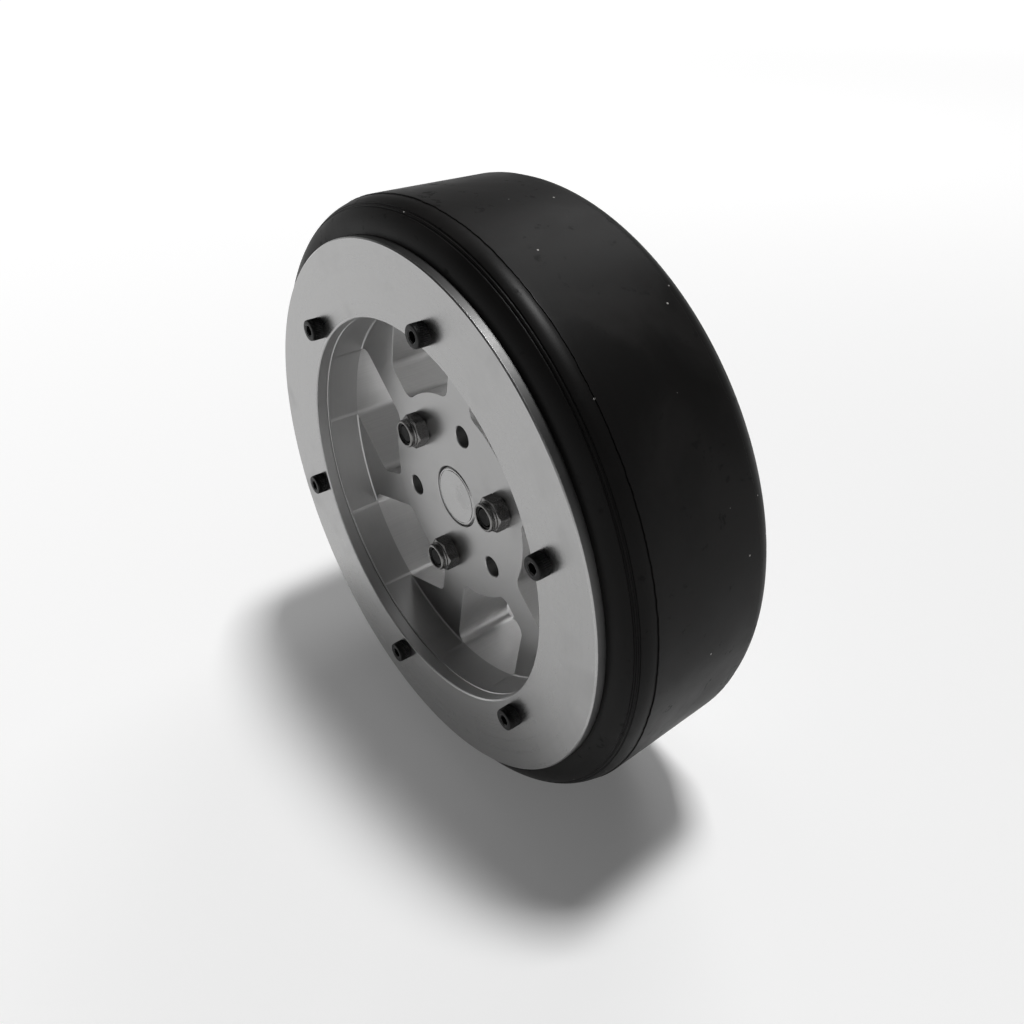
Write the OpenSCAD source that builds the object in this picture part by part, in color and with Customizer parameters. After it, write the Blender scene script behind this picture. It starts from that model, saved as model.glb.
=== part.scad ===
// Solid-tyred drive wheel for a small robot: turned aluminium rim, clamp ring and shaft hub.
// The wheel turns about Y, its bolted front faces -Y, and the origin is its centre.

/* [Wheel] */
// Diameter over the tread
tread_d = 152.4; // [150:0.1:160]
// Width over the clamp ring and the rear flange
wheel_w = 48.8; // [46:0.1:52]
// Width of the cylindrical tread
tread_w = 30.7; // [28:0.1:36]
// Angle of the first ring screw and hub screw above +X
pattern_turn = 15.7; // [0:0.1:60]

/* [Rim] */
// Diameter of both flanges, the clamp ring and the rear one
flange_d = 136; // [132:0.5:140]
// Thickness of each flange
flange_t = 3; // [2.5:0.5:4]
// Inside diameter of the barrel
barrel_bore_d = 100; // [98:0.5:102]
// Wall of the barrel under the tyre
barrel_wall = 8; // [7:0.5:9]
// Depth of the web below the front of the clamp ring
web_depth = 12.5; // [11:0.5:14]
// Thickness of the web where the hub clamps it
web_t = 4; // [3:0.5:6]
// Depth of the spokes, from the front of the web to their backs
spoke_t = 16.8; // [14:0.2:17]

/* [Windows] */
// Number of windows in the web
window_count = 6; // [6:1:6]
// Radius of the solid middle of the web
boss_r = 27.7; // [26.5:0.1:29]
// Gap from a hub hole's radius to the window's near straight edge
window_near = 7.5; // [6:0.1:9]
// Gap from the same radius to the window's far straight edge
window_far = 32; // [30:0.1:34]
// Gap from the next hub hole's radius to the window's short edge
window_side = 1.6; // [1:0.1:3]
// Radius of the milling cutter, left in every corner
cutter_r = 3; // [2:0.5:4]
// Depth that the cutter bites into the barrel wall
cutter_bite = 0.2; // [0.1:0.1:0.4]

/* [Clamp ring] */
// Diameter of the hole in the clamp ring
ring_hole_d = 99; // [96:0.5:99.5]
// Pitch circle of the ring screws
ring_pcd = 107.5; // [106:0.5:109]
// Number of ring screws
ring_screws = 6; // [6:1:6]

/* [Hub] */
// Pitch circle of the hub holes
hub_pcd = 40; // [38:0.5:42]
// Diameter of the hub holes
hub_hole_d = 5.5; // [5.3:0.1:5.8]
// Diameter of the spigot that centres the web
spigot_d = 16; // [14:0.5:18]
// Diameter of the hub's flange
hub_flange_d = 52; // [50:0.5:53]
// Diameter of the hub's boss
boss_d = 30; // [28:0.5:30.5]
// Length of the boss behind its flange
boss_len = 20; // [18:0.5:22]
// Diameter of the shaft bore
shaft_d = 12; // [8:0.5:12]
// Depth of the shaft bore
shaft_depth = 26; // [20:1:26]

/* [Fasteners] */
// Length of a ring screw under its head
ring_screw_len = 10; // [8:2:12]
// Length of a hub screw under its head
hub_screw_len = 16; // [16:1:16]
// Length of a set screw
set_screw_len = 8; // [6:1:8]

/* [Hidden] */
$fn = 96;
eps = 0.01;
half_w = wheel_w / 2;
seat_z = half_w - flange_t;          // faces that clamp the tyre
web_z = half_w - web_depth;          // front face of the web
web_back_z = web_z - web_t;
spoke_back_z = web_z - spoke_t;
barrel_bore_r = barrel_bore_d / 2;
barrel_r = barrel_bore_r + barrel_wall;
flange_r = flange_d / 2;
tread_r = tread_d / 2;
edge = 0.3;                          // broken edges of the turned parts
corner = 0.45;                       // corner left between web and barrel
overrun = 0.005;                     // the cutter's round runs this far past each edge it meets
thread_gap = 0.02;                   // radial room between a screw and its thread

// screws: thread radius, head radius, head height, socket across flats
m3 = [1.5, 2.75, 3, 2.5];
m5 = [2.5, 4.25, 5, 4];
ring_clear_r = 1.7;
ring_tap_depth = 9;

// lock nut
nut_flats = 8;
nut_h = 5;
nut_hex_h = 3.3;
collar_r = 3.65;
lip_r = 2.95;
insert_r = 3.3;
insert_z = [2.9, 4.5];
nut_turns = [20, 7, 19];              // how far each nut stops past its hole's radius
screw_recess = 0.5;                  // the screw ends this far below the nut's lip
hub_flange_t = hub_screw_len - web_t - nut_h + screw_recess;
hub_flange_back = web_back_z - hub_flange_t;
spigot_gap = 0.3;
pocket_gap = 0.3;                    // round the hub's flange, which sits in a pocket behind the web
set_screw_z = hub_flange_back - boss_len * 0.6;

// tyre
tyre_bulge = 0.6;                    // rubber squeezed up past the flange's edge
tyre_gap = 0.1;
shoulder_in_r = flange_r + tyre_gap;
shoulder_top_z = seat_z + tyre_bulge;
trim_step = 0.3;                     // the tread is ground this much proud of the shoulder
shoulder_steps = 16;
groove_r = 0.28;
groove_turns = [49, 56];             // where the two mould lines sit around the shoulder

// Wheel profiles are drawn with their axis on Z and their front up, then turned to face -Y.
module stand_up() { rotate([90, 0, 0]) children(); }

module around(count, r, turn = 0) {
  for (i = [0 : count - 1])
    rotate([0, 0, turn + i * 360 / count]) translate([r, 0, 0]) children();
}

function unit(v) = v / norm(v);
function polar(r, a) = [r * cos(a), r * sin(a)];

// Regular hexagonal prism, by its width across flats
module hex(flats, h) { rotate([0, 0, 30]) cylinder(d = flats / cos(30), h = h, $fn = 6); }

// Sharp corner left outside a cutter at c, between the edges in directions d1 and d2
module corner_rest(c, d1, d2) {
  reach = cutter_r + 2;
  difference() {
    polygon([c, c + reach * d1, c + reach * (d1 + d2), c + reach * d2]);
    translate(c) circle(cutter_r + overrun);
  }
}

// Outline of one window. Its near edge runs beside the X axis, its far edge parallel to that,
// and its short edge beside the next hub hole's radius, 60 degrees on.
module window_outline() {
  out_r = barrel_bore_r + cutter_bite;
  step = 360 / window_count;
  side = polar(1, step - 90);        // points away from the next spoke
  near_y = window_near + cutter_r;
  far_y = window_far - cutter_r;
  side_gap = window_side + cutter_r;
  near_in = [sqrt(pow(boss_r + cutter_r, 2) - pow(near_y, 2)), near_y];
  near_out = [sqrt(pow(out_r - cutter_r, 2) - pow(near_y, 2)), near_y];
  far_out = [sqrt(pow(out_r - cutter_r, 2) - pow(far_y, 2)), far_y];
  far_side = [(side_gap - side.y * far_y) / side.x, far_y];
  side_in = polar(boss_r + cutter_r, step - asin(side_gap / (boss_r + cutter_r)));
  difference() {
    intersection() {
      circle(out_r, $fn = 180);
      polygon([
        polar(window_side, step - 90) + polar(boss_r * 0.8, step),
        [(window_side - side.y * window_far) / side.x, window_far],
        [out_r + 1, window_far],
        [out_r + 1, window_near],
        [boss_r * 0.8, window_near]
      ]);
    }
    circle(boss_r, $fn = 180);
    corner_rest(near_in, [0, -1], -unit(near_in));
    corner_rest(near_out, [0, -1], unit(near_out));
    corner_rest(far_out, [0, 1], unit(far_out));
    corner_rest(far_side, [0, 1], -side);
    corner_rest(side_in, -side, -unit(side_in));
  }
}

module rim() {
  spigot_hole_r = spigot_d / 2 + spigot_gap;
  pocket_r = hub_flange_d / 2 + pocket_gap;
  cut_z = spoke_back_z - 0.5;
  color("gainsboro") stand_up() difference() {
    rotate_extrude($fn = 180) polygon([
      [spigot_hole_r, web_back_z],
      [spigot_hole_r, web_z],
      [barrel_bore_r - corner, web_z],
      [barrel_bore_r, web_z + corner],
      [barrel_bore_r, seat_z],
      [barrel_r, seat_z],
      [barrel_r, -seat_z],
      [flange_r, -seat_z],
      [flange_r, -half_w + edge],
      [flange_r - edge, -half_w],
      [barrel_bore_r + 2 * edge, -half_w],
      [barrel_bore_r, -half_w + 2 * edge],
      [barrel_bore_r, spoke_back_z - corner],
      [barrel_bore_r - corner, spoke_back_z],
      [pocket_r, spoke_back_z],
      [pocket_r, web_back_z]
    ]);
    for (i = [0 : window_count - 1])
      rotate([0, 0, pattern_turn + i * 360 / window_count])
        translate([0, 0, cut_z]) linear_extrude(seat_z + 1 - cut_z) window_outline();
    around(window_count, hub_pcd / 2, pattern_turn)
      translate([0, 0, web_back_z - 1]) cylinder(d = hub_hole_d, h = web_t + 2, $fn = 48);
    around(ring_screws, ring_pcd / 2, pattern_turn)
      translate([0, 0, seat_z - ring_tap_depth]) cylinder(r = m3[0], h = ring_tap_depth + 1, $fn = 32);
  }
}

module front_ring() {
  hole_r = ring_hole_d / 2;
  color("silver") stand_up() difference() {
    rotate_extrude($fn = 180) polygon([
      [hole_r + edge, seat_z],
      [hole_r, seat_z + edge],
      [hole_r, half_w - edge],
      [hole_r + edge, half_w],
      [flange_r - edge, half_w],
      [flange_r, half_w - edge],
      [flange_r, seat_z]
    ]);
    around(ring_screws, ring_pcd / 2, pattern_turn)
      translate([0, 0, seat_z - 1]) cylinder(r = ring_clear_r, h = flange_t + 2, $fn = 32);
  }
}

// One shoulder, from the flange's edge out to the tread, as a quarter ellipse
function shoulder(side) = [
  for (i = [0 : shoulder_steps])
    let (a = 90 * (side > 0 ? i : shoulder_steps - i) / shoulder_steps)
      shoulder_point(a, side)
];
function shoulder_point(a, side) = [
  shoulder_in_r + (tread_r - trim_step - shoulder_in_r) * sin(a),
  side * (tread_w / 2 + (shoulder_top_z - tread_w / 2) * cos(a))
];

module tyre() {
  bore_r = barrel_r + thread_gap;
  color([0.1, 0.1, 0.1]) stand_up() difference() {
    rotate_extrude($fn = 180) polygon(concat(
      [[bore_r, seat_z], [shoulder_in_r, seat_z]],
      shoulder(1),
      [[tread_r, tread_w / 2], [tread_r, -tread_w / 2]],
      shoulder(-1),
      [[shoulder_in_r, -seat_z], [bore_r, -seat_z]]
    ));
    for (side = [-1, 1], a = groove_turns) {
      p = shoulder_point(a, side);
      rotate_extrude($fn = 180) translate([p.x, p.y]) circle(groove_r, $fn = 24);
    }
  }
}

module shaft_hub() {
  boss_end = hub_flange_back - boss_len;
  spigot_r = spigot_d / 2;
  shaft_r = shaft_d / 2;
  color("lightgray") stand_up() difference() {
    rotate_extrude() polygon([
      [0, web_z],
      [spigot_r - 2 * edge, web_z],
      [spigot_r, web_z - 2 * edge],
      [spigot_r, web_back_z],
      [hub_flange_d / 2 - edge, web_back_z],
      [hub_flange_d / 2, web_back_z - edge],
      [hub_flange_d / 2, hub_flange_back + edge],
      [hub_flange_d / 2 - edge, hub_flange_back],
      [boss_d / 2, hub_flange_back],
      [boss_d / 2, boss_end + 2 * edge],
      [boss_d / 2 - 2 * edge, boss_end],
      [shaft_r + 2 * edge, boss_end],
      [shaft_r, boss_end + 2 * edge],
      [shaft_r, boss_end + shaft_depth],
      [0, boss_end + shaft_depth + shaft_r * 0.5]
    ]);
    around(window_count, hub_pcd / 2, pattern_turn)
      translate([0, 0, hub_flange_back - 1]) cylinder(d = hub_hole_d, h = hub_flange_t + 2, $fn = 48);
    for (turn = [0, 90])
      rotate([0, 0, pattern_turn + 30 + turn]) translate([0, 0, set_screw_z])
        rotate([0, 90, 0]) cylinder(r = m5[0], h = boss_d, $fn = 32);
  }
}

// Socket head cap screw: its seat at z = 0 and its head above that
module cap_screw(size, len) {
  thread_r = size[0] - thread_gap;
  head_r = size[1];
  head_h = size[2];
  flats = size[3];
  bevel = size[0] * 0.15;
  difference() {
    rotate_extrude($fn = 64) polygon([
      [0, -len],
      [thread_r - bevel, -len],
      [thread_r, -len + bevel],
      [thread_r, 0],
      [head_r, 0],
      [head_r, head_h - bevel],
      [head_r - bevel, head_h],
      [0, head_h]
    ]);
    translate([0, 0, head_h / 2]) hex(flats, head_h);
    translate([0, 0, head_h - bevel])
      cylinder(r1 = flats / 2, r2 = flats / 2 + 2 * bevel, h = 2 * bevel, $fn = 48);
  }
}

module ring_screw(i) {
  color("black") stand_up()
    rotate([0, 0, pattern_turn + (i - 1) * 360 / ring_screws])
      translate([ring_pcd / 2, 0, half_w]) cap_screw(m3, ring_screw_len);
}

module at_hub_hole(i) {
  stand_up() rotate([0, 0, pattern_turn + (i - 1) * 120]) translate([hub_pcd / 2, 0, 0]) children();
}

module hub_screw(i) {
  color("black") at_hub_hole(i)
    translate([0, 0, hub_flange_back]) mirror([0, 0, 1]) cap_screw(m5, hub_screw_len);
}

// Hexagon with both ends turned down, and the rolled collar that holds the insert
module lock_nut(i) {
  corner_r = nut_flats / 2 / cos(30);
  thread_r = m5[0];
  color("silver") at_hub_hole(i) translate([0, 0, web_z]) difference() {
    union() {
      intersection() {
        rotate([0, 0, nut_turns[i - 1]]) hex(nut_flats, nut_hex_h);
        rotate_extrude($fn = 64) polygon([
          [0, 0],
          [nut_flats / 2, 0],
          [corner_r, 0.4],
          [corner_r, nut_hex_h - 0.6],
          [nut_flats / 2 - 0.1, nut_hex_h],
          [0, nut_hex_h]
        ]);
      }
      rotate_extrude($fn = 64) polygon([
        [0, nut_hex_h - 1],
        [collar_r + 0.15, nut_hex_h - 1],
        [collar_r + 0.15, nut_hex_h + 0.35],
        [collar_r - 0.1, nut_hex_h + 0.55],
        [collar_r, nut_hex_h + 0.75],
        [collar_r, nut_h - 0.45],
        [collar_r - 0.12, nut_h - 0.15],
        [collar_r - 0.35, nut_h],
        [0, nut_h]
      ]);
    }
    translate([0, 0, -1]) cylinder(r = thread_r, h = nut_h, $fn = 48);
    translate([0, 0, insert_z[0]]) cylinder(r = insert_r, h = insert_z[1] - insert_z[0], $fn = 48);
    translate([0, 0, insert_z[0] + eps]) cylinder(r = lip_r, h = nut_h, $fn = 48);
  }
}

module nut_insert(i) {
  color("dimgray") at_hub_hole(i) translate([0, 0, web_z + insert_z[0]]) difference() {
    cylinder(r = insert_r, h = insert_z[1] - insert_z[0], $fn = 48);
    translate([0, 0, -1]) cylinder(r = m5[0], h = nut_h, $fn = 48);
  }
}

// Set screw with a cup point, lying along a radius of the boss
module set_screw(i) {
  thread_r = m5[0] - thread_gap;
  out_r = boss_d / 2 - 0.5;
  color("black") stand_up()
    rotate([0, 0, pattern_turn + 30 + (i - 1) * 90]) translate([out_r, 0, set_screw_z])
      rotate([0, 90, 0]) difference() {
        rotate_extrude($fn = 48) polygon([
          [0, -set_screw_len + 0.7],
          [1.2, -set_screw_len],
          [thread_r, -set_screw_len + 1],
          [thread_r, -0.3],
          [thread_r - 0.3, 0],
          [0, 0]
        ]);
        translate([0, 0, -3]) hex(2.5, 4);
      }
}

rim();
front_ring();
tyre();
shaft_hub();
for (i = [1 : ring_screws])
  ring_screw(i);
for (i = [1 : 3]) {
  hub_screw(i);
  lock_nut(i);
  nut_insert(i);
}
for (i = [1 : 2])
  set_screw(i);
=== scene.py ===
import math

import bmesh
import bpy
from mathutils import Matrix, Vector, noise


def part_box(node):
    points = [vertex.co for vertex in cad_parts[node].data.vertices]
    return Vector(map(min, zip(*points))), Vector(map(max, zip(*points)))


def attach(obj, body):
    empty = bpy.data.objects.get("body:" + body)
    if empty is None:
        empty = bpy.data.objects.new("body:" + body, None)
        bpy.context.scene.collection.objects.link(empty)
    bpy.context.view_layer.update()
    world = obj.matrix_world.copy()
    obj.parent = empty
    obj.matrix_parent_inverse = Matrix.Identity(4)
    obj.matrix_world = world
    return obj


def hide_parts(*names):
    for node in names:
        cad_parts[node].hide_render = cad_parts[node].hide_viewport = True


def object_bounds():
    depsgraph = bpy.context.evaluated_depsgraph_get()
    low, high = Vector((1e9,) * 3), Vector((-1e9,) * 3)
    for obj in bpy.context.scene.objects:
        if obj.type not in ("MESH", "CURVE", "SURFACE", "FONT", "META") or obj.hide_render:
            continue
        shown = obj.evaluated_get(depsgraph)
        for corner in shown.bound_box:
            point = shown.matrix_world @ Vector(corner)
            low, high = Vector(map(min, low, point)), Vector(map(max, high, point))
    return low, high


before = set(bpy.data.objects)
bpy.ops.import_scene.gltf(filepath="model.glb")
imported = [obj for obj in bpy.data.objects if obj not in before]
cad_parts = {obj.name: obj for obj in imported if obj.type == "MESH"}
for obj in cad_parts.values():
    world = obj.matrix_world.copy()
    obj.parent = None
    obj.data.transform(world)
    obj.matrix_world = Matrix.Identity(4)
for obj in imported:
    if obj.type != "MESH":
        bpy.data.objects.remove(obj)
cadBox = [list(corner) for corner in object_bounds()]

mm = 0.001
toMm = (1000, 1000, 1000)
fullTurn = math.tau
standUp = Matrix.Rotation(math.radians(90), 4, "X")  # pieces are built axis up, then face -Y


def boxOf(node):
    low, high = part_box(node)
    return low / mm, high / mm


def centreOf(node):
    low, high = boxOf(node)
    return (low + high) / 2


def frontOf(node):
    return -boxOf(node)[0].y


def backOf(node):
    return -boxOf(node)[1].y


def boltPlace(node):
    # radius and angle of a fastener whose axis is parallel to the wheel's
    centre = centreOf(node)
    return math.hypot(centre.x, centre.z), math.atan2(centre.z, centre.x)


# depths run forward from the wheel's middle, in millimetres
wheelFront = frontOf("front_ring")
seatFront = backOf("front_ring")  # where the clamp ring meets the rim and the tyre
wheelBack = backOf("rim")
webFront = frontOf("shaft_hub")
webThickness = 4
webBack = webFront - webThickness
flangeR = boxOf("front_ring")[1].x
treadR = boxOf("tyre")[1].x
boltRingR, firstBolt = boltPlace("ring_screw_1")
hubBoltR = boltPlace("hub_screw_1")[0]
boltAngles = [firstBolt + fullTurn * k / 6 for k in range(6)]  # the windows and hub holes share them


def softOutline(corners, steps=3):
    # corners are (r, z) or (r, z, radius), and a radius rounds that corner
    outline = []
    for i, corner in enumerate(corners):
        point = Vector(corner[:2])
        radius = corner[2] if len(corner) > 2 else 0
        if radius == 0:
            outline.append(point)
            continue
        before = (Vector(corners[i - 1][:2]) - point).normalized()
        after = (Vector(corners[(i + 1) % len(corners)][:2]) - point).normalized()
        half = before.angle(after) / 2
        middle = point + (before + after).normalized() * radius / math.sin(half)
        first = point + before * radius / math.tan(half) - middle
        last = point + after * radius / math.tan(half) - middle
        sweep = first.angle(last)
        for k in range(steps + 1):
            t = k / steps
            arm = first * math.sin((1 - t) * sweep) + last * math.sin(t * sweep)
            outline.append(middle + arm / math.sin(sweep))
    return outline


def spin(outline, segments, closed=True, shape=None):
    # turns an outline about Z; shape(r, z, angle) may move each point
    bm = bmesh.new()
    columns = []
    poles = {}
    for s in range(segments):
        angle = fullTurn * s / segments
        column = []
        for i, (r, z) in enumerate(outline):
            if shape:
                r, z = shape(r, z, angle)
            if r < 1e-6:  # on the axis
                if i not in poles:
                    poles[i] = bm.verts.new((0, 0, z))
                column.append(poles[i])
            else:
                column.append(bm.verts.new((r * math.cos(angle), r * math.sin(angle), z)))
        columns.append(column)
    count = len(outline)
    for s, column in enumerate(columns):
        beside = columns[(s + 1) % segments]
        for i in range(count if closed else count - 1):
            j = (i + 1) % count
            ring = [column[i], beside[i], beside[j], column[j]]
            ring = [v for k, v in enumerate(ring) if v not in ring[:k]]
            if len(ring) > 2:
                bm.faces.new(ring)
    return toMesh(bm)


def stack(loops):
    # closed solid through loops of points, one above the next
    bm = bmesh.new()
    rings = [[bm.verts.new(p) for p in loop] for loop in loops]
    for low, high in zip(rings, rings[1:]):
        for i in range(len(low)):
            j = (i + 1) % len(low)
            bm.faces.new((low[i], low[j], high[j], high[i]))
    bm.faces.new(rings[0])
    bm.faces.new(rings[-1])
    return toMesh(bm)


def toMesh(bm):
    bmesh.ops.recalc_face_normals(bm, faces=bm.faces)
    mesh = bpy.data.meshes.new("shape")
    bm.to_mesh(mesh)
    bm.free()
    return mesh


def plug(r, low, high, segments):
    # a plain round pin, which cuts a plain hole
    return spin([(0, low), (r, low), (r, high), (0, high)], segments, closed=False)


def hexCornerR(flats):
    return flats / 2 / math.cos(math.radians(30))


def hexPrism(flats, low, high):
    reach = hexCornerR(flats)
    turns = [math.radians(60 * k) for k in range(6)]
    return stack([[(reach * math.cos(a), reach * math.sin(a), z) for a in turns]
                  for z in (low, high)])


def moved(mesh, place):
    mesh.transform(place)
    return mesh


def onBolt(r, angle, z=0.0):
    return Matrix.Rotation(angle, 4, "Z") @ Matrix.Translation((r, 0, z))


def acrossBoss(node, r):
    # lays an upright piece along a set screw, with its own zero at radius r
    centre = centreOf(node)
    return (Matrix.Rotation(boltPlace(node)[1], 4, "Z") @ Matrix.Translation((r, 0, -centre.y))
            @ Matrix.Rotation(math.radians(90), 4, "Y"))


def joined(meshes):
    bm = bmesh.new()
    for mesh in meshes:
        bm.from_mesh(mesh)
        bpy.data.meshes.remove(mesh)
    mesh = bpy.data.meshes.new("shape")
    bm.to_mesh(mesh)
    bm.free()
    return mesh


def cutAway(mesh, tools):
    # takes several tools, which don't touch each other, out of one mesh
    body = bpy.data.objects.new("body", mesh)
    tool = bpy.data.objects.new("tool", joined(tools))
    for o in (body, tool):
        bpy.context.scene.collection.objects.link(o)
    cut = body.modifiers.new("cut", "BOOLEAN")
    cut.operation = "DIFFERENCE"
    cut.object = tool
    cut.solver = "MANIFOLD"
    result = bpy.data.meshes.new_from_object(
        body.evaluated_get(bpy.context.evaluated_depsgraph_get()))
    for o in (body, tool):
        old = o.data
        bpy.data.objects.remove(o)
        bpy.data.meshes.remove(old)
    return result


def addPiece(name, mesh, materials, slot, *nodes, sharp=35.0):
    # puts a finished mesh, made in millimetres with its axis up, into the frame
    mesh.transform(Matrix.Scale(mm, 4) @ standUp)
    mesh.name = name
    piece = bpy.data.objects.new(name, mesh)
    bpy.context.scene.collection.objects.link(piece)
    mesh.materials.clear()
    for material in materials:
        mesh.materials.append(material)
    mesh.shade_smooth()
    mesh.set_sharp_from_angle(angle=math.radians(sharp))
    weighted = piece.modifiers.new("even shading", "WEIGHTED_NORMAL")
    weighted.keep_sharp = True
    weighted.weight = 90
    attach(piece, "root")
    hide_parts(*nodes)
    print("made", name, len(mesh.polygons), "faces")


class Nodes:
    # short names for the few things that every node tree here needs
    def __init__(self, tree):
        self.tree = tree

    def add(self, kind, settings=None, **inputs):
        node = self.tree.nodes.new(kind)
        for key, value in (settings or {}).items():
            setattr(node, key, value)
        for key, value in inputs.items():
            self.put(node, key.replace("_", " "), value)
        return node

    def put(self, node, key, value):
        # key is a socket's name, or i and the socket's number
        byNumber = key[0] == "i" and key[1:].isdigit()
        socket = node.inputs[int(key[1:]) if byNumber else key]
        if isinstance(value, bpy.types.NodeSocket):
            self.tree.links.new(value, socket)
        else:
            socket.default_value = value

    def math(self, operation, a, b, clamp=False):
        node = self.add("ShaderNodeMath", {"operation": operation, "use_clamp": clamp}, i0=a, i1=b)
        return node.outputs[0]

    def vector(self, operation, a, b=(0, 0, 0)):
        node = self.add("ShaderNodeVectorMath", {"operation": operation}, i0=a, i1=b)
        single = operation in ("LENGTH", "DISTANCE", "DOT_PRODUCT")
        return node.outputs["Value" if single else "Vector"]

    def span(self, value, low, high, toLow=0.0, toHigh=1.0, smooth=True):
        node = self.add("ShaderNodeMapRange",
                        {"interpolation_type": "SMOOTHSTEP" if smooth else "LINEAR"},
                        i0=value, i1=low, i2=high, i3=toLow, i4=toHigh)
        return node.outputs[0]

    def noise(self, vector, scale, detail=2.0, roughness=0.5, distortion=0.0):
        node = self.add("ShaderNodeTexNoise", Vector=vector, Scale=scale, Detail=detail,
                        Roughness=roughness, Distortion=distortion)
        return node.outputs[0]

    def mix(self, share, a, b):
        node = self.add("ShaderNodeMix", {"data_type": "RGBA"})
        self.put(node, "i0", share)
        self.put(node, "i6", a)
        self.put(node, "i7", b)
        return node.outputs[2]

    def place(self):
        return self.add("ShaderNodeTexCoord").outputs["Object"]

    def placeInMm(self):
        return self.vector("MULTIPLY", self.place(), toMm)


def newGroup(name, inputs, outputs):
    tree = bpy.data.node_groups.new(name, "ShaderNodeTree")
    for label, kind, value in inputs:
        socket = tree.interface.new_socket(name=label, in_out="INPUT", socket_type=kind)
        socket.default_value = value
    for label, kind in outputs:
        tree.interface.new_socket(name=label, in_out="OUTPUT", socket_type=kind)
    nodes = Nodes(tree)
    return tree, nodes, tree.nodes.new("NodeGroupInput").outputs, tree.nodes.new("NodeGroupOutput")


floatKind = "NodeSocketFloat"


def wheelPolar(nodes):
    # place, radius from the wheel's axis, angle round it and depth along it, in millimetres and radians
    spot = nodes.placeInMm()
    parts = nodes.add("ShaderNodeSeparateXYZ", Vector=spot).outputs
    flat = nodes.add("ShaderNodeCombineXYZ", X=parts["X"], Z=parts["Z"]).outputs[0]
    radius = nodes.vector("LENGTH", flat)
    angle = nodes.math("ARCTAN2", parts["Z"], parts["X"])
    return spot, radius, angle, parts["Y"]


def makeTurnedLines():
    # fine tool lines left by a lathe: rings on faces, hoops on cylinders
    tree, nodes, given, out = newGroup(
        "turnedLines",
        [("Pitch", floatKind, 0.25), ("Waver", floatKind, 0.5)],
        [("Lines", floatKind), ("Bands", floatKind)])
    spot, radius, angle, depth = wheelPolar(nodes)
    across = nodes.math("ADD", radius, depth)
    drift = nodes.noise(spot, 0.03, 1.0)
    across = nodes.math("ADD", across, nodes.math("MULTIPLY", drift, given["Waver"]))
    count = nodes.math("DIVIDE", across, given["Pitch"])
    fine = nodes.add("ShaderNodeCombineXYZ", X=count, Y=nodes.math("MULTIPLY", angle, 0.6))
    nodes.put(out, "Lines", nodes.noise(fine.outputs[0], 1.0, 3.0, 0.65))
    broad = nodes.add("ShaderNodeCombineXYZ", X=nodes.math("MULTIPLY", count, 0.12),
                      Y=nodes.math("MULTIPLY", angle, 0.35))
    nodes.put(out, "Bands", nodes.noise(broad.outputs[0], 1.0, 2.0, 0.5))
    return tree


def makeMilledLines():
    # upright lines that an end mill leaves on the walls that it cuts
    tree, nodes, given, out = newGroup(
        "milledLines",
        [("Pitch", floatKind, 0.35), ("Length", floatKind, 40.0)],
        [("Lines", floatKind)])
    size = nodes.add("ShaderNodeCombineXYZ", X=given["Pitch"], Y=given["Length"], Z=given["Pitch"])
    spot = nodes.vector("DIVIDE", nodes.placeInMm(), size.outputs[0])
    nodes.put(out, "Lines", nodes.noise(spot, 1.0, 3.0, 0.7))
    return tree


def makeSpeckle():
    # small grains and larger clouds, for handling marks and dust
    tree, nodes, given, out = newGroup(
        "speckle",
        [("Grain", floatKind, 0.25), ("Cloud", floatKind, 14.0)],
        [("Grains", floatKind), ("Clouds", floatKind)])
    spot = nodes.placeInMm()
    fine = nodes.vector("SCALE", spot)
    nodes.put(fine.node, "Scale", nodes.math("DIVIDE", 1.0, given["Grain"]))
    nodes.put(out, "Grains", nodes.noise(fine, 1.0, 2.0, 0.6))
    broad = nodes.vector("SCALE", spot)
    nodes.put(broad.node, "Scale", nodes.math("DIVIDE", 1.0, given["Cloud"]))
    nodes.put(out, "Clouds", nodes.noise(broad, 1.0, 4.0, 0.6, 0.4))
    return tree


def makeEdgeWearAndHighlight():
    # bright where two faces meet, broken up by a noise: partly wear, partly a painted highlight along
    # the edges
    tree, nodes, given, out = newGroup(
        "edgeWearAndHighlight",
        [("Width", floatKind, 0.25), ("Break", floatKind, 0.5)],
        [("Mask", floatKind)])
    rounded = nodes.add("ShaderNodeBevel", {"samples": 4},
                        Radius=nodes.math("MULTIPLY", given["Width"], mm)).outputs[0]
    straight = nodes.add("ShaderNodeNewGeometry").outputs["Normal"]
    turn = nodes.math("SUBTRACT", 1.0, nodes.vector("DOT_PRODUCT", rounded, straight))
    spot = nodes.placeInMm()
    rough = nodes.span(nodes.noise(spot, 1.3, 3.0, 0.6), 0.35, 0.65)
    keep = nodes.math("SUBTRACT", 1.0, nodes.math("MULTIPLY", rough, given["Break"]))
    edge = nodes.span(turn, 0.004, 0.06)
    nodes.put(out, "Mask", nodes.math("MULTIPLY", edge, keep))
    return tree


groups = {
    "turned": makeTurnedLines(),
    "milled": makeMilledLines(),
    "speckle": makeSpeckle(),
    "edge": makeEdgeWearAndHighlight(),
}
print("shader groups made")


def newMaterial(name):
    material = bpy.data.materials.new(name)
    material.use_nodes = True
    tree = material.node_tree
    tree.nodes.clear()
    nodes = Nodes(tree)
    surface = nodes.add("ShaderNodeBsdfPrincipled")
    output = nodes.add("ShaderNodeOutputMaterial")
    tree.links.new(surface.outputs[0], output.inputs["Surface"])
    return material, nodes, surface


def useGroup(nodes, name, **inputs):
    return nodes.add("ShaderNodeGroup", {"node_tree": groups[name]}, **inputs).outputs


def grey(value, warm=0.0):
    return (value * (1 + warm), value, value * (1 - warm), 1)


def addBump(nodes, surface, look, height):
    bump = nodes.add("ShaderNodeBump", Strength=look["bump"], Distance=look["bumpDepth"] * mm,
                     Height=height)
    nodes.put(surface, "Normal", bump.outputs[0])


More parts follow.
